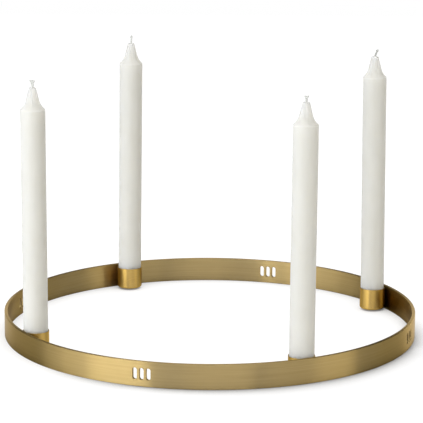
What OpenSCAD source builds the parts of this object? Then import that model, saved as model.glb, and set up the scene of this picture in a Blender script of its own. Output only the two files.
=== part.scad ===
// Advent candle holder, in millimetres.
// A flat brass band is bent into a hoop that stands on its edge. Four drawn
// brass cups are brazed to its inner face, and each holds a dinner candle.
// Between the cups, three round-ended slots are cut through the band.
// The origin is the middle of the hoop on the table, +Z is up, and the
// candles stand on the X and Y axes.

/* [Hoop] */
// Outer diameter of the hoop
hoop_d = 380; // [320:1:440]
// Height of the band
band_h = 22.5; // [21.5:0.5:32]
// Thickness of the band
band_t = 3; // [2:0.1:5]
// Bevel that breaks the band's four edges
band_bevel = 0.4; // [0.1:0.1:0.8]

/* [Slots] */
// Number of slots in each group between two cups
slot_count = 3; // [1:1:5]
// Width of a slot
slot_w = 4; // [2:0.1:5]
// Height of a slot, with its round ends
slot_h = 10.5; // [7:0.5:15]
// Distance from slot to slot, measured round the outer face
slot_pitch = 6.2; // [5.5:0.1:10]

/* [Cups] */
// Height of a cup
cup_h = 20; // [12:0.5:21]
// Thickness of the sheet that the cups are drawn from
cup_sheet = 0.5; // [0.4:0.1:1.2]
// Outside radius of a cup's rounded bottom edge
cup_edge_r = 2; // [1.5:0.1:3]
// How far a cup's rim lies below the band's top edge
cup_drop = 1; // [0:0.1:1.5]

/* [Brazing] */
// Gap that the braze metal fills where a cup comes closest to the band
braze_gap = 0.1; // [0.05:0.01:0.3]
// Width of a braze bead, measured round the hoop
braze_w = 6; // [3:0.5:9]
// How far a bead stops short of the cup's rim and of its rounded edge
braze_inset = 1; // [0.5:0.1:3]

/* [Candles] */
// Diameter of a candle's shaft
candle_d = 22.2; // [20:0.1:26]
// Gap all round between a candle and its cup
candle_clear = 0.3; // [0.3:0.05:0.6]
// Length of the right candle's shaft
right_shaft = 224; // [150:0.5:300]
// Length of the back candle's shaft
back_shaft = 223; // [150:0.5:300]
// Length of the left candle's shaft
left_shaft = 220.5; // [150:0.5:300]
// Length of the front candle's shaft
front_shaft = 222.5; // [150:0.5:300]
// Lean of the right candle towards +X, in degrees
right_lean = -0.5; // [-0.5:0.1:0.5]
// Lean of the back candle towards +X, in degrees
back_lean = 0.5; // [-0.5:0.1:0.5]
// Lean of the left candle towards +X, in degrees
left_lean = -0.2; // [-0.5:0.1:0.5]
// Lean of the front candle towards +X, in degrees
front_lean = 0.3; // [-0.5:0.1:0.5]

/* [Candle noses] */
// Height of the tapered nose above the shaft
nose_h = 19.5; // [16:0.5:26]
// Diameter of the nose at its top
nose_top_d = 6.4; // [5:0.1:8]
// Diameter where the nose's straight taper runs into the flare
nose_waist_d = 11.7; // [9:0.1:13]
// Height above the shaft where the taper runs into the flare
nose_waist_h = 8.1; // [6:0.1:10]
// Rounding of the nose's top edge
nose_round_r = 0.8; // [0.3:0.1:1.5]

/* [Wicks] */
// Diameter of a wick
wick_d = 2; // [1.5:0.1:3]
// Gap between a wick and the wax round it
wick_clear = 0.05; // [0.02:0.01:0.1]
// How far a wick stands out of the nose
wick_out = 6.5; // [4:0.5:12]
// Width of the wick's spread tip
wick_tip_d = 3.6; // [2:0.1:5]
// Height over which the tip spreads
wick_tip_h = 2.4; // [1:0.1:4]

/* [Hidden] */
SIDES = ["right", "back", "left", "front"];

$fn = 128;
bead_steps = 12;
// Keeps the bead's short flats clear of the cup's round wall.
bead_clear = 0.005;
cut_over = 1;
side_step = 360 / len(SIDES);
shafts = [right_shaft, back_shaft, left_shaft, front_shaft];
leans = [right_lean, back_lean, left_lean, front_lean];

hoop_r = hoop_d / 2;
bore_r = hoop_r - band_t;
slot_step = slot_pitch / hoop_r * 180 / PI;

cup_bore_r = candle_d / 2 + candle_clear;
cup_r = cup_bore_r + cup_sheet;
cup_bottom_z = band_h - cup_drop - cup_h;
cup_seat_z = cup_bottom_z + cup_sheet;
cup_centre_r = bore_r - braze_gap - cup_r;
bead_z = cup_bottom_z + cup_edge_r + braze_inset;
bead_h = cup_h - cup_edge_r - 2 * braze_inset;

candle_r = candle_d / 2;
// The foot is bevelled so that it clears the cup's rounded corner.
foot_bevel = cup_edge_r;
taper_h = nose_h - nose_round_r;
nose_top_r = nose_top_d / 2;
wick_channel_d = wick_d + 2 * wick_clear;

// The flare's circle touches the taper at the waist and passes through the
// shaft's edge. Its centre lies outside, square to the taper.
waist = [nose_waist_d / 2, nose_waist_h];
taper = waist - [nose_top_r, taper_h];
taper_out = [-taper[1], taper[0]] / norm(taper);
waist_to_edge = [candle_r, 0] - waist;
flare_r = pow(norm(waist_to_edge), 2) / (2 * waist_to_edge * taper_out);
flare_centre = waist + flare_r * taper_out;

brass = [0.74, 0.58, 0.33];
bronze = [0.62, 0.47, 0.25];
wax = [0.93, 0.92, 0.88];
cotton = [0.86, 0.84, 0.78];

module round_ended(length, width) {
    square([length - width, width], center = true);
    for (end = [-1, 1])
        translate([end * (length - width) / 2, 0]) circle(d = width);
}

module slot_cutter() {
    translate([bore_r - cut_over, 0, band_h / 2])
        rotate([0, 90, 0])
            linear_extrude(band_t + 2 * cut_over) round_ended(slot_h, slot_w);
}

module hoop_band() {
    color(brass) difference() {
        rotate_extrude() polygon([
            [bore_r + band_bevel, 0], [hoop_r - band_bevel, 0],
            [hoop_r, band_bevel], [hoop_r, band_h - band_bevel],
            [hoop_r - band_bevel, band_h], [bore_r + band_bevel, band_h],
            [bore_r, band_h - band_bevel], [bore_r, band_bevel]]);
        for (group = [0 : len(SIDES) - 1], slot = [0 : slot_count - 1])
            rotate([0, 0, (group + 0.5) * side_step
                          + (slot - (slot_count - 1) / 2) * slot_step])
                slot_cutter();
    }
}

// Half section of a cylinder whose bottom edge is rounded.
module rounded_half(radius, height, edge) {
    square([radius - edge, height]);
    translate([0, edge]) square([radius, height - edge]);
    translate([radius - edge, edge]) circle(r = edge);
}

module cup() {
    color(brass) translate([cup_centre_r, 0, cup_bottom_z])
        rotate_extrude() difference() {
            intersection() {
                rounded_half(cup_r, cup_h, cup_edge_r);
                square([cup_r, cup_h]);
            }
            translate([0, cup_sheet])
                rounded_half(cup_bore_r, cup_h, cup_edge_r - cup_sheet);
        }
}

// Braze metal in the narrow wedges on both sides of where cup and band meet:
// its outer side follows the band's inner face, its inner side the cup.
module braze() {
    across = [for (i = [0 : bead_steps]) braze_w * (i / bead_steps - 0.5)];
    color(bronze) translate([0, 0, bead_z]) linear_extrude(bead_h) polygon([
        for (y = across) [sqrt(pow(bore_r, 2) - pow(y, 2)), y],
        for (y = across) [cup_centre_r + sqrt(pow(cup_r + bead_clear, 2) - pow(y, 2)), -y]]);
}

// Stands a candle or wick in its cup, leaning on the lower edge of its foot.
module in_cup(side) {
    lift = (candle_r - foot_bevel) * sin(abs(leans[side]));
    rotate([0, 0, side * side_step]) translate([cup_centre_r, 0, cup_seat_z + lift])
        rotate([0, 0, -side * side_step]) rotate([0, leans[side], 0]) children();
}

module nose_half() {
    difference() {
        polygon([[0, 0], [candle_r, 0], waist, [nose_top_r, taper_h], [0, taper_h]]);
        translate(flare_centre) circle(r = flare_r);
    }
    square([nose_top_r - nose_round_r, nose_h]);
    translate([nose_top_r - nose_round_r, taper_h]) circle(r = nose_round_r);
}

module candle(shaft) {
    color(wax) difference() {
        rotate_extrude() {
            polygon([[0, 0], [candle_r - foot_bevel, 0], [candle_r, foot_bevel],
                     [candle_r, shaft], [0, shaft]]);
            translate([0, shaft]) nose_half();
        }
        translate([0, 0, -cut_over])
            cylinder(d = wick_channel_d, h = shaft + nose_h + 2 * cut_over);
    }
}

module wick(shaft) {
    neck = shaft + nose_h + wick_out - wick_tip_h;
    color(cotton) {
        cylinder(d = wick_d, h = neck);
        translate([0, 0, neck])
            cylinder(d1 = wick_d, d2 = wick_tip_d, h = wick_tip_h);
    }
}

hoop_band();
for (side = [0 : len(SIDES) - 1]) {
    rotate([0, 0, side * side_step]) cup();
    rotate([0, 0, side * side_step]) braze();
    in_cup(side) candle(shafts[side]);
    in_cup(side) wick(shafts[side]);
}
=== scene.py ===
"""Advent candle holder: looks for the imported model, in its frame, in metres.

A flat brass band is bent into a hoop that stands on its edge. Four drawn
cups are brazed inside it, and each holds a pale dinner candle.
"""

import math

import bmesh
import bpy
import numpy as np
from mathutils import Matrix, Vector


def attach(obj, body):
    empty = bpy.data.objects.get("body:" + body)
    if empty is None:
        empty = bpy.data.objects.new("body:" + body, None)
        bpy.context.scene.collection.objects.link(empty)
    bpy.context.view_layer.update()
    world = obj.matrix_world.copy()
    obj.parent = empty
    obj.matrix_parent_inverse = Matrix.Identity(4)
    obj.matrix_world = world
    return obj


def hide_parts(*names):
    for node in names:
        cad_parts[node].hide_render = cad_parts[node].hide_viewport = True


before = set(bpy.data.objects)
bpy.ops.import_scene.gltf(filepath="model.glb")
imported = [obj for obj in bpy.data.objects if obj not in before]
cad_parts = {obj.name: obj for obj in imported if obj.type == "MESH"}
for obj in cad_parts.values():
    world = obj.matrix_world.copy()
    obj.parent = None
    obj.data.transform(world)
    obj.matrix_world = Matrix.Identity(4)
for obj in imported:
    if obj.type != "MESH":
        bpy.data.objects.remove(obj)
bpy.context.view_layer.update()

MM = 0.001

# Sizes of the real object, in millimetres, as the part's source has them.
HOOP_R = 190.0
BAND_T = 3.0
BAND_H = 22.5
BORE_R = HOOP_R - BAND_T
SLOT_COUNT = 3
SLOT_W = 4.0
SLOT_H = 10.5
SLOT_PITCH = 6.2
CUP_H = 20.0
CUP_SHEET = 0.5
CUP_EDGE_R = 2.0
CUP_DROP = 1.0
BRAZE_GAP = 0.1
BRAZE_W = 6.0
BRAZE_INSET = 1.0
CANDLE_R = 11.1
CANDLE_CLEAR = 0.3
NOSE_H = 19.5
NOSE_TOP_R = 3.2
NOSE_WAIST_R = 5.85
NOSE_WAIST_H = 8.1
NOSE_ROUND_R = 0.8
WICK_R = 1.0
FOOT_BEVEL = CUP_EDGE_R

CUP_R = CANDLE_R + CANDLE_CLEAR + CUP_SHEET
CUP_BOTTOM_Z = BAND_H - CUP_DROP - CUP_H
CUP_SEAT_Z = CUP_BOTTOM_Z + CUP_SHEET
CUP_CENTRE_R = BORE_R - BRAZE_GAP - CUP_R

# Each side: its angle round the hoop, the candle's shaft, its lean towards +X
# in degrees, and how far the wax of its nose rises towards the wick.
SIDES = {
    "right": (0.0, 224.0, -0.5, 1.1),
    "back": (90.0, 223.0, 0.5, -0.2),
    "left": (180.0, 220.5, -0.2, 0.9),
    "front": (270.0, 222.5, 0.3, 0.35),
}


# Meshes

# Points closer than the first distance are merged, and edges shorter than the
# second are taken out. Both are in metres.
MERGE_WITHIN = 2e-7
SHORTEST_EDGE = 1e-8
# Millimetres within which two points, or a point and the axis, are one.
TINY = 1e-6


def grid_faces(rows, columns, closed=False):
    """Quads between neighbours of a rows by columns grid of points, with the
    last column joined to the first where it closes."""
    last = columns if closed else columns - 1
    i, j = np.meshgrid(np.arange(rows - 1), np.arange(last), indexing="ij")
    right = (j + 1) % columns
    quads = np.stack([i * columns + j, i * columns + right,
                      (i + 1) * columns + right, (i + 1) * columns + j], axis=-1)
    return quads.reshape(-1, 4)


def make_mesh(name, patches, outwards=True):
    """One mesh from a list of (points, faces) patches in millimetres. Points
    that meet on a seam or a pole are merged, and a closed mesh has its faces
    turned outwards."""
    points = np.concatenate([p.reshape(-1, 3) for p, _ in patches]) * MM
    faces, first = [], 0
    for p, f in patches:
        faces.append(f + first)
        first += p.size // 3
    mesh = bpy.data.meshes.new(name)
    mesh.from_pydata(points.tolist(), [], np.concatenate(faces).tolist())
    work = bmesh.new()
    work.from_mesh(mesh)
    bmesh.ops.remove_doubles(work, verts=work.verts, dist=MERGE_WITHIN)
    bmesh.ops.dissolve_degenerate(work, edges=work.edges, dist=SHORTEST_EDGE)
    if outwards:
        bmesh.ops.recalc_face_normals(work, faces=work.faces)
    work.to_mesh(mesh)
    work.free()
    mesh.polygons.foreach_set("use_smooth", np.ones(len(mesh.polygons), bool))
    mesh.update()
    piece = bpy.data.objects.new(name, mesh)
    bpy.context.scene.collection.objects.link(piece)
    return piece


def turned(profile, columns):
    """A profile of (radius, height) points turned round the Z axis: the point
    at angle a is (radius cos a, radius sin a, height)."""
    a = np.linspace(0, 2 * np.pi, columns, endpoint=False)
    r, z = profile[:, :1], profile[:, 1:]
    points = np.stack([r * np.cos(a), r * np.sin(a), z + 0 * a], axis=-1)
    return points, grid_faces(len(profile), columns, closed=True)


def arc(centre, radius, start, end, steps):
    """Points on a circle in the profile's plane from angle start to end."""
    a = np.radians(np.linspace(start, end, steps + 1))
    return np.stack([centre[0] + radius * np.cos(a),
                     centre[1] + radius * np.sin(a)], axis=-1)


def line(start, end, steps):
    """Evenly spaced points from start to end."""
    t = np.linspace(0, 1, steps + 1)[:, None]
    return np.array(start) * (1 - t) + np.array(end) * t


def joined(*parts):
    """Profile parts end to end, without the points that they share."""
    points = np.concatenate(parts)
    step = np.linalg.norm(np.diff(points, axis=0), axis=1)
    return points[np.concatenate([[True], step > TINY])]


def swept(path, radius, sides):
    """A round tube along a path that runs mostly up: each ring is radius
    (cos a, sin a) in the plane across the path, and both ends close to a
    point."""
    radius = np.broadcast_to(radius, (len(path),))
    along = np.gradient(path, axis=0)
    along /= np.linalg.norm(along, axis=1, keepdims=True)
    side = np.cross([0.0, 1.0, 0.0], along)
    side /= np.linalg.norm(side, axis=1, keepdims=True)
    other = np.cross(along, side)
    a = np.linspace(0, 2 * np.pi, sides, endpoint=False)[None, :, None]
    ring = np.cos(a) * side[:, None] + np.sin(a) * other[:, None]
    points = path[:, None] + radius[:, None, None] * ring
    ends = np.broadcast_to(path[[0, -1], None], (2, sides, 3))
    points = np.concatenate([ends[:1], points, ends[1:]])
    return points, grid_faces(len(points), sides, closed=True)


# Hoop

# Rounding of the band's edges and of the slots' rims, and their steps.
EDGE_R = 0.4
EDGE_STEPS = 4
RIM_R = 0.22
RIM_STEPS = 3
# On a flat, rows of points start this far from a rounded edge, so that the
# flat is shaded as one, and then this far from the band's edge.
EDGE_LOOP = 0.1
FLAT_START = 2.0
FLAT_ROWS = 3
# Each slot lies in a cell of the strip of wall that holds the slots. Its edge
# has so many steps over the top and down the side.
STRIP_MARGIN = 1.5
STRIP_LOW = BAND_H / 2 - SLOT_H / 2 - STRIP_MARGIN
STRIP_HIGH = BAND_H / 2 + SLOT_H / 2 + STRIP_MARGIN
CELL_TOP = 8
CELL_SIDE = 16
# Shares of the way from a slot's rim to its cell's edge, and from the outer
# face to the inner one, at which there is a ring of points.
CELL_RINGS = (1.0, 0.7, 0.4, 0.12, 0.0)
THROUGH_RINGS = (0.05, 0.5, 0.95)
# Columns of points in the plain wall between two groups of slots.
PLAIN_COLUMNS = 96
# Angles from slot to slot and from group to group.
SLOT_STEP = SLOT_PITCH / HOOP_R
GROUP_TURN = np.pi / 2


def hoop_columns():
    """Angles of the band's columns, fine over the slots and even between
    them, with the number of columns over a group and in a quarter turn."""
    over_slots = SLOT_COUNT * CELL_TOP
    half = SLOT_COUNT * SLOT_STEP / 2
    group = np.linspace(-half, half, over_slots + 1)
    plain = np.linspace(half, GROUP_TURN - half, PLAIN_COLUMNS + 1)
    quarter = np.concatenate([group[:-1], plain[:-1]])
    centres = GROUP_TURN / 2 + np.arange(len(SIDES)) * GROUP_TURN
    return (centres[:, None] + quarter[None]).ravel(), over_slots, len(quarter)


def on_hoop(radius, angle, height):
    """The point at an angle and height on a wall of that radius."""
    return np.stack([radius * np.cos(angle), radius * np.sin(angle),
                     height + 0 * angle], axis=-1)


def slot_outline(grow):
    """Across and up offsets of a round-ended slot's outline, grown by grow.
    It starts at 45 degrees on the upper end and runs over the top."""
    end = (SLOT_H - SLOT_W) / 2
    r = SLOT_W / 2 + grow
    side_arc = CELL_SIDE // 4
    straight = CELL_SIDE - 2 * side_arc
    top = arc((0, end), r, 45, 135, CELL_TOP)[:-1]
    left = np.concatenate([arc((0, end), r, 135, 180, side_arc)[:-1],
                           line((-r, end), (-r, -end), straight)[:-1],
                           arc((0, -end), r, 180, 225, side_arc)[:-1]])
    return np.concatenate([top, left, -top, -left])


def slot_cell_edge():
    """Angle and height offsets of the cell round a slot, matched to the
    outline's points: over the top, down the left, and so on round."""
    half = SLOT_STEP / 2
    high = STRIP_HIGH - BAND_H / 2
    top = line((half, high), (-half, high), CELL_TOP)[:-1]
    left = line((-half, high), (-half, -high), CELL_SIDE)[:-1]
    return np.concatenate([top, left, -top, -left])


def slot_cell(angle):
    """Wall round one slot on both faces of the band, with rounded rims and
    the slot's own wall between them. Rings run from the cell's edge on the
    outer face, through the slot, to the cell's edge on the inner face."""
    edge = slot_cell_edge()
    rings = []
    for radius, inside in ((HOOP_R, 1), (BORE_R, -1)):
        rim = slot_outline(RIM_R)
        start = np.stack([np.arcsin(rim[:, 0] / radius), rim[:, 1]], axis=-1)
        wall = [start * (1 - s) + edge * s for s in CELL_RINGS]
        wall = [on_hoop(radius, angle + w[:, 0], BAND_H / 2 + w[:, 1]) for w in wall]
        lip = []
        for t in np.radians(np.linspace(0, 90, RIM_STEPS + 1))[1:]:
            o = slot_outline(RIM_R * (1 - np.sin(t)))
            depth = RIM_R * (1 - np.cos(t))
            x = np.sqrt(radius ** 2 - o[:, 0] ** 2) - inside * depth
            lip.append(np.stack([x * np.cos(angle) - o[:, 0] * np.sin(angle),
                                 x * np.sin(angle) + o[:, 0] * np.cos(angle),
                                 BAND_H / 2 + o[:, 1]], axis=-1))
        rings.append(wall + lip)
    outer, inner = rings
    through = [outer[-1] * (1 - t) + inner[-1] * t for t in THROUGH_RINGS]
    points = np.array(outer + through + inner[::-1])
    return points, grid_faces(len(points), points.shape[1], closed=True)


def hoop_patches():
    """The band as a closed profile carried round the hoop, with the strip of
    both walls that holds the slots left to the slot cells."""
    angles, over_slots, quarter = hoop_columns()
    e = EDGE_R
    low = np.concatenate([[e, e + EDGE_LOOP],
                          np.linspace(FLAT_START, STRIP_LOW, FLAT_ROWS)])
    high = np.concatenate([np.linspace(STRIP_HIGH, BAND_H - FLAT_START, FLAT_ROWS),
                           [BAND_H - e - EDGE_LOOP, BAND_H - e]])
    flat = np.array([e, e + EDGE_LOOP, BAND_T / 2, BAND_T - e - EDGE_LOOP, BAND_T - e])
    upper = joined(
        np.stack([0 * high + HOOP_R, high], axis=-1),
        arc((HOOP_R - e, BAND_H - e), e, 0, 90, EDGE_STEPS),
        np.stack([HOOP_R - flat, 0 * flat + BAND_H], axis=-1),
        arc((BORE_R + e, BAND_H - e), e, 90, 180, EDGE_STEPS),
        np.stack([0 * high + BORE_R, high[::-1]], axis=-1))
    lower = joined(
        np.stack([0 * low + BORE_R, low[::-1]], axis=-1),
        arc((BORE_R + e, e), e, 180, 270, EDGE_STEPS),
        np.stack([HOOP_R - flat[::-1], 0 * flat], axis=-1),
        arc((HOOP_R - e, e), e, 270, 360, EDGE_STEPS),
        np.stack([0 * low + HOOP_R, low], axis=-1))
    patches = []
    for profile in (upper, lower):
        points = np.stack([on_hoop(r, angles, z) for r, z in profile])
        patches.append((points, grid_faces(len(profile), len(angles), closed=True)))
    strip = np.linspace(STRIP_LOW, STRIP_HIGH, CELL_SIDE + 1)
    plain = np.append(angles, angles[0] + 2 * np.pi)
    for k in range(len(SIDES)):
        part = plain[k * quarter + over_slots:(k + 1) * quarter + 1]
        for radius in (HOOP_R, BORE_R):
            points = np.stack([on_hoop(radius, part, z) for z in strip])
            patches.append((points, grid_faces(len(strip), len(part))))
        for slot in range(SLOT_COUNT):
            patches.append(slot_cell(GROUP_TURN / 2 + k * GROUP_TURN
                                     + (slot - (SLOT_COUNT - 1) / 2) * SLOT_STEP))
    return patches


# Cups and their braze beads

CUP_COLUMNS = 96
# Rows of points lie this close to a cup's rounded edge and to its rim.
CUP_EDGE_LOOP = 0.15
CUP_RIM_LOOP = 0.05
# Steps across a bead and up it. Then, as shares of its width: the width of its
# ends, what its middle adds to that, and how wide it is at three places on
# the way from the band to the cup.
BEAD_STEPS = 14
BEAD_ROWS = 16
BEAD_ENDS = 0.94
BEAD_SWELL = 0.06
BEAD_SIDES = np.array([0.25, 0.5, 0.75])
BEAD_WIDTHS = np.array([0.85, 0.80, 0.85])


def cup_profile():
    """Half section of a drawn cup with an even wall: flat bottom, rounded
    edge, wall, rounded rim, and the same again inside, one sheet thinner."""
    rim = CUP_SHEET / 2
    top = CUP_H - rim
    low, high = CUP_EDGE_R + CUP_EDGE_LOOP, top - CUP_RIM_LOOP
    inner_r = CUP_R - CUP_SHEET
    inner_edge = CUP_EDGE_R - CUP_SHEET
    return joined(
        line((0, 0), (CUP_R - CUP_EDGE_R, 0), 6),
        arc((CUP_R - CUP_EDGE_R, CUP_EDGE_R), CUP_EDGE_R, 270, 360, 10),
        line((CUP_R, CUP_EDGE_R), (CUP_R, low), 1),
        line((CUP_R, low), (CUP_R, high), 8),
        line((CUP_R, high), (CUP_R, top), 1),
        arc((CUP_R - rim, top), rim, 0, 180, 8),
        line((inner_r, top), (inner_r, high), 1),
        line((inner_r, high), (inner_r, CUP_EDGE_R), 8),
        arc((inner_r - inner_edge, CUP_SHEET + inner_edge), inner_edge, 0, -90, 8),
        line((inner_r - inner_edge, CUP_SHEET), (0, CUP_SHEET), 5))


def braze_patch():
    """Braze metal between band and cup. Each ring runs along the band's inner
    face from end to end and back along the cup, and both free sides sink in
    by a shallow curve. The half width swells up the bead with
    sqrt(1 - (2v - 1)^2), and both ends close to a point in the middle."""
    t = np.linspace(-1, 1, BEAD_STEPS + 1)
    z0 = CUP_BOTTOM_Z + CUP_EDGE_R + BRAZE_INSET
    height = CUP_H - CUP_EDGE_R - 2 * BRAZE_INSET
    v = np.linspace(0, 1, BEAD_ROWS + 1)
    width = BRAZE_W / 2 * (BEAD_ENDS + BEAD_SWELL * np.sqrt(1 - (2 * v - 1) ** 2))
    rings = []
    for z, w in zip(z0 + v * height, width):
        y = t * w
        band = np.sqrt(BORE_R ** 2 - y ** 2)
        cup = CUP_CENTRE_R + np.sqrt(CUP_R ** 2 - y ** 2)
        side_x = band[-1] * (1 - BEAD_SIDES) + cup[-1] * BEAD_SIDES
        side_y = BEAD_WIDTHS * w
        ring = np.concatenate([
            np.stack([band, y], axis=-1),
            np.stack([side_x, side_y], axis=-1),
            np.stack([cup[::-1], y[::-1]], axis=-1),
            np.stack([side_x[::-1], -side_y[::-1]], axis=-1)])
        rings.append(np.concatenate([ring, np.full((len(ring), 1), z)], axis=1))
    points = np.array(rings)
    middle = points.mean(axis=1, keepdims=True) + 0 * points
    points = np.concatenate([middle[:1], points, middle[-1:]])
    return points, grid_faces(len(points), points.shape[1], closed=True)


# Candles

CANDLE_COLUMNS = 160
# Points of the soft shoulder between shaft and nose, as radius and height
# beyond the shaft's edge, and the height at which the nose's points start.
SHOULDER = np.array([[0.0, -0.6], [0.0, -0.3], [-0.03, -0.08]])
NOSE_START = 0.12
# Angle at which the taper meets the nose's rounded top edge, in degrees.
TAPER_ANGLE = 14
# The nose's top rises from the first radius to the second. From there the
# wax is drawn up the wick through these points of radius and height.
CROWN_R = 2.3
DRAWN_R = 1.15
DRAWN_WAX = np.array([[1.0, 0.12], [0.85, 0.35], [0.6, 0.55], [0, 0.55]])
# Flutes of the nose: how often each wave goes up and down round it, the height
# over which they deepen, the depth of one wave, how far a wave drifts at the
# most, and the height over which it does so.
FLUTE_WAVES = (6, 11, 17, 23)
FLUTE_RUN = 9
FLUTE_DEPTH = 0.11
FLUTE_DRIFT = 0.35
FLUTE_TURN = 8
# Unevenness of the shaft: the number of waves, the range of their turns per
# millimetre of height in radians, and the depth of one.
SHAFT_WAVES = 5
SHAFT_TURN = (0.02, 0.09)
SHAFT_DEPTH = 0.008
# Where both grow to their whole depth, as spans in millimetres and the shares
# of a span that come before it: outwards from the wick, and up from the foot.
FLUTES_OUT = (2, 0.8)
SHAFT_OUT = (1, 2)
SHAFT_UP = (6, 0.4)
# A wave starts at any angle from 0 to about a full turn.
ANY_PHASE = 6.3


def nose_radius(height):
    """Radius of the nose at a height above the shaft: a straight taper from
    the top to the waist, then a circle that touches the taper there and
    passes through the shaft's edge, with its centre outside."""
    waist = np.array([NOSE_WAIST_R, NOSE_WAIST_H])
    taper = waist - [NOSE_TOP_R, NOSE_H - NOSE_ROUND_R]
    outwards = np.array([-taper[1], taper[0]]) / np.linalg.norm(taper)
    to_edge = np.array([CANDLE_R, 0.0]) - waist
    flare_r = to_edge @ to_edge / (2 * to_edge @ outwards)
    x, z = waist + flare_r * outwards
    flared = x - np.sqrt(np.maximum(flare_r ** 2 - (height - z) ** 2, 0))
    straight = NOSE_WAIST_R + (height - NOSE_WAIST_H) * taper[0] / taper[1]
    return np.where(height > NOSE_WAIST_H, straight, flared)


def candle_profile(shaft, crown):
    """Half section of a candle: bevelled foot, straight shaft, a soft
    shoulder, the flared nose, and a top that rises to the wick by crown
    times 1 - (radius / CROWN_R) ^ 2, with a little wax drawn up the wick."""
    top = NOSE_H - NOSE_ROUND_R
    up = np.linspace(NOSE_START, top, 48)
    nose = np.stack([nose_radius(up), shaft + up], axis=-1)
    cap = arc((NOSE_TOP_R - NOSE_ROUND_R, shaft + top), NOSE_ROUND_R, TAPER_ANGLE, 90, 6)
    across = np.linspace(CROWN_R, DRAWN_R, 6)
    rise = shaft + NOSE_H + crown * (1 - (across / CROWN_R) ** 2)
    shoulder = SHOULDER + [CANDLE_R, shaft]
    return joined(
        line((0, 0), (CANDLE_R - FOOT_BEVEL, 0), 5),
        line((CANDLE_R - FOOT_BEVEL, 0), (CANDLE_R, FOOT_BEVEL), 3),
        line((CANDLE_R, FOOT_BEVEL), shoulder[0], 90), shoulder[1:],
        nose, cap, np.stack([across, rise], axis=-1), DRAWN_WAX + [0, rise[-1]])


def ramp(distance, span, start):
    """Rises from 0 to 1: distance / span - start, held between the two."""
    return np.clip(distance / span - start, 0, 1)


def candle_patch(shaft, crown, seed):
    """A candle with a hand-finished nose. The radius is the profile's, less
    sums of cosines of the angle a and the height z: long shallow flutes down
    the nose, and a slow unevenness on the shaft that never adds to it. Both
    fade out towards the wick, and the second towards the foot."""
    points, faces = turned(candle_profile(shaft, crown), CANDLE_COLUMNS)
    rng = np.random.default_rng(seed)
    a = np.arctan2(points[..., 1], points[..., 0])
    r = np.hypot(points[..., 0], points[..., 1])
    z = points[..., 2]
    flutes = np.zeros_like(a)
    for waves in FLUTE_WAVES:
        drift = rng.uniform(-FLUTE_DRIFT, FLUTE_DRIFT)
        flutes += rng.uniform(0.5, 1) * np.cos(waves * a + rng.uniform(0, ANY_PHASE)
                                               + drift * (z - shaft) / FLUTE_TURN)
    uneven = np.zeros_like(a)
    for _ in range(SHAFT_WAVES):
        uneven += np.cos(rng.integers(1, 4) * a + rng.uniform(*SHAFT_TURN) * z
                         + rng.uniform(0, ANY_PHASE))
    on_nose = ramp(z - shaft, FLUTE_RUN, 0) * ramp(r, *FLUTES_OUT)
    on_shaft = ramp(z, *SHAFT_UP) * ramp(r, *SHAFT_OUT)
    cut = (FLUTE_DEPTH * flutes * on_nose
           + SHAFT_DEPTH * (uneven + SHAFT_WAVES) * on_shaft)
    share = np.where(r > TINY, (r - cut) / np.maximum(r, TINY), 1)
    points = points * np.stack([share, share, 0 * share + 1], axis=-1)
    return points, faces


def leaning(points, side):
    """Places points that are measured from the foot of a candle: they turn by
    the lean t, so x becomes x cos t + z sin t, rise until the foot's lower
    edge touches the cup's floor, and move to the cup on their side."""
    angle, _, lean, _ = SIDES[side]
    t = math.radians(lean)
    lift = (CANDLE_R - FOOT_BEVEL) * math.sin(abs(t))
    x = points[..., 0] * math.cos(t) + points[..., 2] * math.sin(t)
    z = -points[..., 0] * math.sin(t) + points[..., 2] * math.cos(t)
    a = math.radians(angle)
    return np.stack([x + CUP_CENTRE_R * math.cos(a),
                     points[..., 1] + CUP_CENTRE_R * math.sin(a),
                     z + CUP_SEAT_Z + lift], axis=-1)


# Wicks

# Each wick's free end: how far it stands out of the nose, how far its tip
# tends to the right and back as the camera sees it, how far its outer
# strands open, the share of its height where they start to, the power of
# that curve, the strands' radius, and the share by which they swell towards
# the tip. All lengths are in millimetres.
WICK_ENDS = {
    "left": dict(out=6.7, tend=(-0.3, 0.1), spread=1.55, start=0.1, power=1.0,
                 ply=0.6, swell=0.35),
    "back": dict(out=7.5, tend=(0.3, 0.1), spread=0.3, start=0.45, power=0.8,
                 ply=0.46, swell=0.7),
    "front": dict(out=5.4, tend=(0.0, 0.0), spread=1.5, start=0.3, power=1.3,
                  ply=0.6, swell=0.4),
    "right": dict(out=6.3, tend=(2.3, -0.5), spread=0.3, start=0.2, power=0.8,
                  ply=0.5, swell=0.5),
}
# How far the camera stands round from the -Y axis, in degrees. The wicks'
# ends and the lamps are laid out as it sees them.
VIEW_TURN = -27.1
# The braid: its number of strands and which of them is the middle one, how
# deep in the wax it starts, its pitch, and how far a strand swings across and
# front to back.
STRANDS = 3
MIDDLE = 1
BRAID_DEPTH = 3.0
BRAID_PITCH = 3.4
BRAID_WIDE = 0.42
BRAID_DEEP = 0.3
# Where the strands open, the middle one moves this far back and the outer ones
# as far forwards, and the middle one is shorter by a share of the spread.
PART_DEEP = 0.3
MIDDLE_SHORTER = 0.25
# A strand's sides, and the number and depth of ripples in a turn of it.
PLY_SIDES = 12
RIPPLES = 9
RIPPLE_DEPTH = 0.08
# A wick tends to its side along a curve of this power, and the braid's swing
# shrinks by this share as the strands open.
TEND_POWER = 1.3
BRAID_CLOSING = 0.5
# A strand's tip is rounded: its radius shrinks with the root of
# (TIP_END - f) / TIP_SPAN, held between TIP_LEAST and 1.
TIP_END = 1.04
TIP_SPAN = 0.12
TIP_LEAST = 0.05
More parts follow.
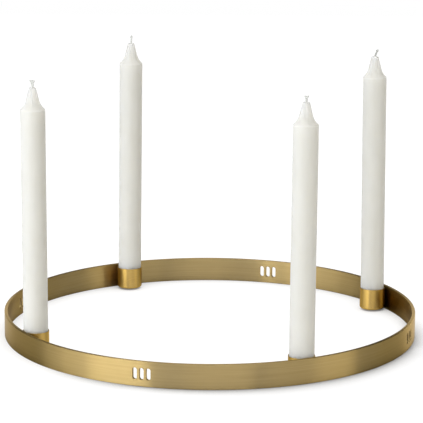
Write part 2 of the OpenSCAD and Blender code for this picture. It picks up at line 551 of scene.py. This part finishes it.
# Fibres of each strand's end: their number, the range of rows of points from
# the tip in which they start, how far they lean out as a share of the
# strands' spread, how much that varies, how far they rise and droop, and
# their radii from root to tip.
FIBRES = 12
FIBRE_ROWS = (3, 16)
FIBRE_FAN = 0.5 / 1.7
FIBRE_VARIES = 0.4
FIBRE_RISE = (0.4, 1.1)
FIBRE_DROOP = 0.25
FIBRE_STEPS = 7
FIBRE_RADII = np.linspace(0.16, 0.06, FIBRE_STEPS)
FIBRE_SIDES = 5
# The core runs from this far above the candle's foot to this far below its
# nose's top.
CORE_FOOT = 0.3
CORE_TOP = 2.0


def wick_patches(side):
    """Three braided strands: strand k swings across by sin(t) and back and
    forth by sin(2t), a third of a turn behind the one before. Towards the
    tip, where the share f of the height nears 1, they open, swell and then
    round off, and short fibres stand out of their ends. Inside the candle
    the wick is a plain round core."""
    end = WICK_ENDS[side]
    nose = SIDES[side][1] + NOSE_H
    rng = np.random.default_rng(sum(map(ord, side)))
    h = np.linspace(-BRAID_DEPTH, end["out"], 90)
    f = np.clip(h / end["out"], 0, 1)
    view = math.radians(VIEW_TURN)
    wide = np.array([math.cos(view), math.sin(view)])
    deep = np.array([-wide[1], wide[0]])
    tended = (f ** TEND_POWER)[:, None] * (end["tend"][0] * wide + end["tend"][1] * deep)
    opened = np.clip((f - end["start"]) / (1 - end["start"]), 0, 1) ** end["power"]
    patches = []
    for k in range(STRANDS):
        t = (h / BRAID_PITCH + k / STRANDS) * 2 * np.pi
        across = (BRAID_WIDE * np.sin(t) * (1 - BRAID_CLOSING * opened)
                  + (k - MIDDLE) * end["spread"] * opened)
        backwards = 1 if k == MIDDLE else -1
        along = BRAID_DEEP * np.sin(2 * t) + PART_DEEP * opened * backwards
        xy = across[:, None] * wide + along[:, None] * deep + tended
        sunk = MIDDLE_SHORTER * end["spread"] * opened * (k == MIDDLE)
        path = np.concatenate([xy, (nose + h - sunk)[:, None]], axis=1)
        ply = end["ply"] * (1 + end["swell"] * opened
                            + RIPPLE_DEPTH * np.cos(RIPPLES * t))
        ply *= np.sqrt(np.clip((TIP_END - f) / TIP_SPAN, TIP_LEAST, 1))
        patches.append(swept(path, ply, PLY_SIDES))
        for _ in range(FIBRES):
            root = path[-rng.integers(*FIBRE_ROWS)]
            fan = FIBRE_FAN * (k - MIDDLE) * end["spread"]
            lean = wide * rng.normal(fan, FIBRE_VARIES)
            lean = lean + deep * rng.normal(0, FIBRE_VARIES)
            out = np.array([*lean, rng.uniform(*FIBRE_RISE)])
            s = np.linspace(0, 1, FIBRE_STEPS)[:, None]
            fibre = root + s * out - s ** 2 * np.array([0, 0, FIBRE_DROOP])
            patches.append(swept(fibre, FIBRE_RADII, FIBRE_SIDES))
    core = line((0, 0, CORE_FOOT), (0, 0, nose - CORE_TOP), 12)
    patches.append(swept(core, WICK_R, PLY_SIDES))
    return [(leaning(p, side), faces) for p, faces in patches]


# Materials

class Value:
    """A shader socket that can be used in a Python expression. Each
    operation adds a Math node and gives its output as a new Value."""

    def __init__(self, paint, socket):
        self.paint, self.socket = paint, socket

    def maths(self, operation, *values):
        node = self.paint.node("ShaderNodeMath", {"operation": operation}, *values)
        return Value(self.paint, node.outputs[0])

    def __add__(self, other):
        return self.maths("ADD", self, other)

    def __sub__(self, other):
        return self.maths("SUBTRACT", self, other)

    def __rsub__(self, other):
        return self.maths("SUBTRACT", other, self)

    def __mul__(self, other):
        return self.maths("MULTIPLY", self, other)

    def __truediv__(self, other):
        return self.maths("DIVIDE", self, other)

    def __rtruediv__(self, other):
        return self.maths("DIVIDE", other, self)

    __radd__ = __add__
    __rmul__ = __mul__

    def root(self):
        return self.maths("SQRT", self)

    def clamped(self):
        node = self.paint.node("ShaderNodeClamp", {}, self, 0.0, 1.0)
        return Value(self.paint, node.outputs[0])

    def ramp(self, start, span):
        """Rises evenly from 0 at start to 1 at start + span."""
        return ((self - start) / span).clamped()


class Paint:
    """A material and its nodes. Nodes take their settings first, then the
    values or links of their sockets, in order or by name."""

    def __init__(self, name):
        self.material = bpy.data.materials.new(name)
        self.material.use_nodes = True
        self.tree = self.material.node_tree
        self.shader = self.tree.nodes["Principled BSDF"]
        self.place = self.node("ShaderNodeTexCoord", {}).outputs["Object"]

    def node(self, kind, settings, *values, **named):
        node = self.tree.nodes.new(kind)
        for setting, value in settings.items():
            setattr(node, setting, value)
        for key, value in [*enumerate(values), *named.items()]:
            self.feed(node.inputs[key], value)
        return node

    def feed(self, socket, value):
        if isinstance(value, Value):
            value = value.socket
        if isinstance(value, bpy.types.NodeSocket):
            self.tree.links.new(value, socket)
        else:
            socket.default_value = value

    def set(self, **sockets):
        for name, value in sockets.items():
            self.feed(self.shader.inputs[name.replace("_", " ")], value)

    def xyz(self):
        node = self.node("ShaderNodeSeparateXYZ", {}, self.place)
        return [Value(self, s) for s in node.outputs]

    def vector(self, x, y, z):
        return self.node("ShaderNodeCombineXYZ", {}, x, y, z).outputs[0]

    def noise(self, vector, scale, detail, roughness):
        node = self.node("ShaderNodeTexNoise", {}, Vector=vector, Scale=scale,
                         Detail=detail, Roughness=roughness)
        return Value(self, node.outputs["Fac"])

    def colour(self, amount, first, second):
        node = self.node("ShaderNodeMix", {"data_type": "RGBA"}, amount)
        for socket, value in zip([s for s in node.inputs if s.type == "RGBA"],
                                 (first, second)):
            self.feed(socket, value)
        return [s for s in node.outputs if s.type == "RGBA"][0]

    def bump(self, height, distance):
        node = self.node("ShaderNodeBump", {}, Height=height, Distance=distance,
                         Strength=1.0)
        return node.outputs[0]


def shade(red, green, blue):
    """A colour written as it shows on a screen, 0 to 255, made linear."""
    c = np.array([red, green, blue]) / 255
    c = np.where(c <= 0.04045, c / 12.92, ((c + 0.055) / 1.055) ** 2.4)
    return (*map(float, c), 1.0)


# Turns the gloss of the brass, so that highlights stretch across its strokes.
QUARTER_TURN = 0.25
# Depths of the strokes, of the wax's unevenness and of the cotton's fibres,
# in metres.
STROKE_DEPTH = 0.00002
WAX_DEPTH = 0.00008
FIBRE_DEPTH = 0.00012


def satin_brass(name, pale, deep, roughness, anisotropy, strokes):
    """Brushed brass under a thin clear lacquer, which fades where the brass
    turns away from the eye. The brush strokes run round the piece, so their
    pattern changes fast with height and distance from the axis and slowly
    round it: strokes, finer ones, and wider bands of them, so many to a
    metre. Tarnish drifts slowly over it. Each of the four lies between -0.5
    and 0.5, and a tone of 1 is the pale colour."""
    paint = Paint(name)
    x, y, z = paint.xyz()
    across = z + (x * x + y * y).root()

    def brushed(along, tight, detail, ragged):
        place = paint.vector(x * along, y * along, across * tight)
        return paint.noise(place, 1.0, detail, ragged) - 0.5

    stroke = brushed(9, strokes, 3.0, 0.7)
    fine = brushed(25, strokes * 3, 2.0, 0.6)
    bands = brushed(12, strokes * 0.25, 2.0, 0.6)
    drift = paint.noise(paint.place, 22.0, 3.0, 0.55) - 0.5
    tone = (stroke * 0.5 + bands * 1.1 + drift * 0.8 + 0.5).clamped()
    turned_away = Value(paint, paint.node("ShaderNodeLayerWeight", {}).outputs["Facing"])
    paint.set(Base_Color=paint.colour(tone, shade(*deep), shade(*pale)),
              Roughness=stroke * 0.12 + bands * 0.08 + drift * 0.08 + roughness,
              Metallic=1.0, Anisotropic=anisotropy, Anisotropic_Rotation=QUARTER_TURN,
              Specular_Tint=(0.85, 0.75, 0.6, 1.0),
              Coat_Weight=(1 - turned_away * 2.0).clamped(),
              Coat_Roughness=0.45, Coat_IOR=1.5,
              Normal=paint.bump(stroke * 0.6 + fine * 0.4, STROKE_DEPTH))
    return paint.material


def candle_wax():
    """Off-white wax: faint mottling and streaks that run up the candle, and a
    slightly uneven, matt skin that lets a little light in."""
    paint = Paint("candle_wax")
    x, y, z = paint.xyz()
    mottle = paint.noise(paint.vector(x, y, z * 0.4), 130.0, 3.0, 0.6)
    streak = paint.noise(paint.vector(x, y, z * 0.05), 700.0, 2.0, 0.5)
    skin = paint.noise(paint.place, 900.0, 2.0, 0.5)
    tone = (mottle * 0.7 + streak * 0.3).clamped()
    paint.set(Base_Color=paint.colour(tone, shade(195, 194, 187), shade(204, 203, 198)),
              Roughness=0.5 + (mottle - 0.5) * 0.15, IOR=1.44, Specular_IOR_Level=0.2,
              Subsurface_Weight=1.0, Subsurface_Scale=0.035,
              Subsurface_Radius=(1.0, 0.95, 0.85),
              Normal=paint.bump(mottle * 0.6 + streak * 0.3 + skin * 0.1, WAX_DEPTH))
    return paint.material


def wick_cotton(name, dark, light):
    """Undyed cotton: fine fibres along the strands, from dark to light."""
    paint = Paint(name)
    x, y, z = paint.xyz()
    fibres = paint.noise(paint.vector(x, y, z * 0.25), 5200.0, 2.0, 0.6)
    patches = paint.noise(paint.place, 900.0, 2.0, 0.5)
    tone = (fibres * 0.6 + patches * 0.4).clamped()
    paint.set(Base_Color=paint.colour(tone, shade(*dark), shade(*light)),
              Roughness=0.9, Sheen_Weight=0.3, Sheen_Roughness=0.5,
              Normal=paint.bump(fibres, FIBRE_DEPTH))
    return paint.material


BRASS = satin_brass("brushed_brass", pale=(167, 144, 90), deep=(144, 121, 69),
                    roughness=0.38, anisotropy=1.0, strokes=2600.0)
CUP_BRASS = satin_brass("turned_brass", pale=(190, 158, 80), deep=(165, 131, 54),
                        roughness=0.42, anisotropy=0.85, strokes=3200.0)
BRAZE_METAL = satin_brass("braze_metal", pale=(150, 122, 74), deep=(112, 86, 48),
                          roughness=0.45, anisotropy=0.0, strokes=900.0)
WAX = candle_wax()
COTTON = wick_cotton("wick_cotton", (180, 182, 177), (228, 228, 223))
# The right candle's wick gets the same cotton, darker.
DARKER_COTTON = wick_cotton("darker_cotton", (150, 152, 148), (200, 201, 195))


def dress(piece, material, body, node):
    """Gives a piece its material, hangs it from its body's empty, and hides the part that
    it stands for.
    """
    piece.data.materials.append(material)
    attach(piece, body)
    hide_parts(node)


def turned_to(points, angle):
    """Points turned about the hoop's axis by an angle a in degrees: x becomes
    x cos a - y sin a, and y becomes x sin a + y cos a."""
    a = math.radians(angle)
    c, s = math.cos(a), math.sin(a)
    return np.stack([points[..., 0] * c - points[..., 1] * s,
                     points[..., 0] * s + points[..., 1] * c,
                     points[..., 2]], axis=-1)


# The right candle has this seed for its unevenness, and each next one 1 more.
FIRST_SEED = 20

dress(make_mesh("hoop", hoop_patches()), BRASS, "holder", "hoop_band")
for number, (side, (angle, shaft, _, crown)) in enumerate(SIDES.items()):
    points, faces = turned(cup_profile(), CUP_COLUMNS)
    cup = (turned_to(points + [CUP_CENTRE_R, 0, CUP_BOTTOM_Z], angle), faces)
    dress(make_mesh("drawn_cup_" + side, [cup]), CUP_BRASS, "holder",
          "cup_" + side)
    points, faces = braze_patch()
    dress(make_mesh("braze_bead_" + side, [(turned_to(points, angle), faces)]),
          BRAZE_METAL, "holder", "braze_" + side)
    points, faces = candle_patch(shaft, crown, FIRST_SEED + number)
    dress(make_mesh("dinner_candle_" + side, [(leaning(points, side), faces)]), WAX,
          side + "_candle", "candle_" + side)
    dress(make_mesh("braided_wick_" + side, wick_patches(side)),
          DARKER_COTTON if side == "right" else COTTON,
          side + "_candle", "wick_" + side)


# Floor, background and light

# The floor that the camera and the brass see is mostly a white that glows by
# itself, less the object's soft shadow. The rest is what the lamps light,
# with the floor's colour lifted to white. The light that the floor sends back
# to the object is that of a pale grey floor. All distances here are in metres.
FLOOR_GLOW = 0.85
FLOOR_LIFT = (2.0, 2.0, 2.0, 1.0)
FLOOR_GREY = (0.55, 0.55, 0.547, 1.0)
# Where the floor starts to go over into the white background, and over how
# much further it does so.
FLOOR_FADE = (1.2, 1.0)
# The shadow: how far it reaches, how dark it is, and what share of it is left
# inside the hoop and beside it. It grows to its whole strength over these
# starts and spans: of the distance from the axis, and, where the camera sees
# it, of the cosine of the angle between a point's direction and -Y.
SHADOW_REACH = 0.25
SHADOW_DEPTH = 3.6
SHADOW_LEFT = 0.25
SHADOW_BEYOND = (0.175, 0.015)
SHADOW_AHEAD = (0.25, 0.45)


def floor_material():
    """White floor. Its glow is 1 less the shadow: SHADOW_DEPTH times its
    strength there times the square of the share of the sky above that the
    object hides."""
    paint = Paint("white_floor")
    rays = paint.node("ShaderNodeLightPath", {})
    camera, glossy, through = [Value(paint, rays.outputs["Is %s Ray" % kind])
                               for kind in ("Camera", "Glossy", "Transmission")]
    seen = (camera + glossy + through).clamped()
    sky = paint.node("ShaderNodeAmbientOcclusion", {"samples": 16}, Distance=SHADOW_REACH)
    hidden = 1 - Value(paint, sky.outputs["AO"])
    x, y, _ = paint.xyz()
    out = (x * x + y * y).root()
    ahead = ((y * -1.0 / out).ramp(*SHADOW_AHEAD) + 1 - camera).clamped()
    strength = ahead * out.ramp(*SHADOW_BEYOND) * (1 - SHADOW_LEFT) + SHADOW_LEFT
    glow = (1 - hidden * hidden * strength * SHADOW_DEPTH).clamped()
    glowing = (out.ramp(*FLOOR_FADE) * (1 - FLOOR_GLOW) + FLOOR_GLOW) * seen
    paint.set(Base_Color=paint.colour(seen, FLOOR_GREY, FLOOR_LIFT), Roughness=0.9,
              Specular_IOR_Level=0.0)
    white = paint.node("ShaderNodeEmission", {}, Strength=1.0,
                       Color=paint.colour(glow, (0, 0, 0, 1), (1, 1, 1, 1)))
    both = paint.node("ShaderNodeMixShader", {}, glowing,
                      paint.shader.outputs[0], white.outputs[0])
    paint.feed(paint.tree.nodes["Material Output"].inputs["Surface"], both.outputs[0])
    return paint.material


# Half the floor's side, in millimetres.
FLOOR_HALF = 6000.0

corners = np.array([[[-1.0, -1, 0], [1, -1, 0]], [[-1, 1, 0], [1, 1, 0]]])
floor = make_mesh("floor", [(corners * FLOOR_HALF, grid_faces(2, 2))], outwards=False)
floor.data.materials.append(floor_material())

# The camera sees this white beyond the floor, and the cloth keeps its light
# from the object.
world = bpy.data.worlds.new("white_studio")
bpy.context.scene.world = world
world.use_nodes = True
world.node_tree.nodes["Background"].inputs["Color"].default_value = (1, 1, 1, 1)

# Grey cloth that hangs round the set and over it, with its sizes in
# millimetres. The camera doesn't see it, and the brass shows it between the
# panels.
CLOTH_R = 3000.0
CLOTH_H = 2600.0
CLOTH_COLUMNS = 48
CLOTH_GREY = (0.22, 0.22, 0.22, 1.0)


def cloth_material():
    """Matt grey cloth."""
    paint = Paint("grey_cloth")
    paint.set(Base_Color=CLOTH_GREY, Roughness=1.0, Specular_IOR_Level=0.0)
    return paint.material


cloth_profile = joined(line((CLOTH_R, 0), (CLOTH_R, CLOTH_H), 4),
                       line((CLOTH_R, CLOTH_H), (0, CLOTH_H), 4))
cloth = make_mesh("hung_cloth", [turned(cloth_profile, CLOTH_COLUMNS)])
cloth.data.materials.append(cloth_material())
cloth.visible_camera = False

# Soft panels round the object, seen from above in the photograph's frame.
# Each is given by the bearings of its two ends, in degrees to the left of
# the camera as the object sees it, their distances in millimetres, the
# heights of its lower and upper edges, and its brightness.
PANELS = {
    "key_near": ((12, 2400), (32, 2300), (0, 650), 2.6),
    "key_middle": ((32, 2300), (66, 2300), (0, 650), 11.5),
    "key_far": ((66, 2300), (84, 2300), (0, 650), 5.6),
    "left_side": ((84, 2300), (97, 2400), (0, 650), 2.9),
    "front": ((-24, 2700), (12, 2700), (0, 650), 4.3),
    "right_near": ((-55, 2300), (-28, 2300), (0, 650), 2.3),
    "right_side": ((-82, 2300), (-56, 2300), (0, 650), 4.3),
    "right_back": ((-152, 2300), (-130, 2300), (0, 650), 2.7),
    "left_back": ((134, 2300), (152, 2300), (0, 650), 1.2),
    "behind": ((152, 2300), (208, 2300), (0, 650), 1.3),
}
# Red, green and blue of the panels' light, by the first word of the name.
TINTS = {
    "key": (0.98, 1.0, 1.04),
    "left": (0.98, 1.0, 1.04),
    "right": (1.03, 1.0, 0.93),
}
WHITE = (1.0, 1.0, 1.0)
# The square panel over the object, with its sizes in millimetres. It faces
# almost straight down, so that which way up it is stays settled.
TOP_H = 2200
TOP_SIZE = 2400
TOP_FACING = [0.0, 0.001, -1.0]
TOP_LEVEL = 2.1


def soft_panel(name, centre, facing, width, height, brightness):
    """A rectangular lamp that the camera doesn't see. Its power is pi times
    its brightness times its area."""
    data = bpy.data.lights.new(name, "AREA")
    data.shape = "RECTANGLE"
    data.size, data.size_y = width * MM, height * MM
    data.energy = brightness * math.pi * data.size * data.size_y
    data.color = TINTS.get(name.split("_")[0], WHITE)
    lamp = bpy.data.objects.new(name, data)
    bpy.context.scene.collection.objects.link(lamp)
    lamp.visible_camera = False
    centre, facing = turned_to(np.array([centre, facing]), VIEW_TURN)
    lamp.rotation_euler = Vector(facing.tolist()).to_track_quat("-Z", "Y").to_euler()
    lamp.location = Vector(centre.tolist()) * MM


def bearing_point(bearing, distance):
    """The point on the floor at a bearing a to the left of the camera:
    (-sin a, -cos a) times its distance."""
    a = math.radians(bearing)
    return np.array([-math.sin(a), -math.cos(a)]) * distance


for name, (start, end, heights, brightness) in PANELS.items():
    p, q = bearing_point(*start), bearing_point(*end)
    width = float(np.linalg.norm(q - p))
    across = (q - p) / width
    inwards = np.array([across[1], -across[0]])
    inwards *= -np.sign(inwards @ (p + q))
    centre = [*((p + q) / 2), sum(heights) / 2]
    soft_panel(name, centre, [*inwards, 0.0], width, heights[1] - heights[0], brightness)
soft_panel("top", [0.0, 0.0, TOP_H], TOP_FACING, TOP_SIZE, TOP_SIZE, TOP_LEVEL)


# Camera: fitted to the hoop's edge curves in the photograph. It is set up over
# the -Y axis and then turned by VIEW_TURN with the point that it looks at.
# That point and its distance are in millimetres, its angles in radians, and
# its focal length and the width of the picture in pixels.
CAMERA_DISTANCE = 2250.0
CAMERA_ELEVATION = math.radians(12.82)
CAMERA_ROLL = 0.0054
CAMERA_FOCAL_PX = 2446.0
CAMERA_REACH_M = 50
PHOTO_SIZE = 423
SENSOR_MM = 36.0
TARGET = np.array([1.03, 0.0, 113.3])

data = bpy.data.cameras.new("camera")
data.sensor_width = SENSOR_MM
data.lens = CAMERA_FOCAL_PX * SENSOR_MM / PHOTO_SIZE
data.clip_end = CAMERA_REACH_M
camera = bpy.data.objects.new("camera", data)
bpy.context.scene.collection.objects.link(camera)
back = np.array([0.0, -math.cos(CAMERA_ELEVATION), math.sin(CAMERA_ELEVATION)])
right = np.array([1.0, 0.0, 0.0])
up = np.cross(back, right)
right, up = (math.cos(CAMERA_ROLL) * right + math.sin(CAMERA_ROLL) * up,
             math.cos(CAMERA_ROLL) * up - math.sin(CAMERA_ROLL) * right)
axes = turned_to(np.array([right, up, back]), VIEW_TURN)
place = turned_to(TARGET + back * CAMERA_DISTANCE, VIEW_TURN) * MM
matrix = np.eye(4)
matrix[:3, :3] = axes.T
matrix[:3, 3] = place
camera.matrix_world = Matrix(matrix.tolist())
bpy.context.scene.camera = camera
bpy.context.scene.view_settings.view_transform = "Standard"
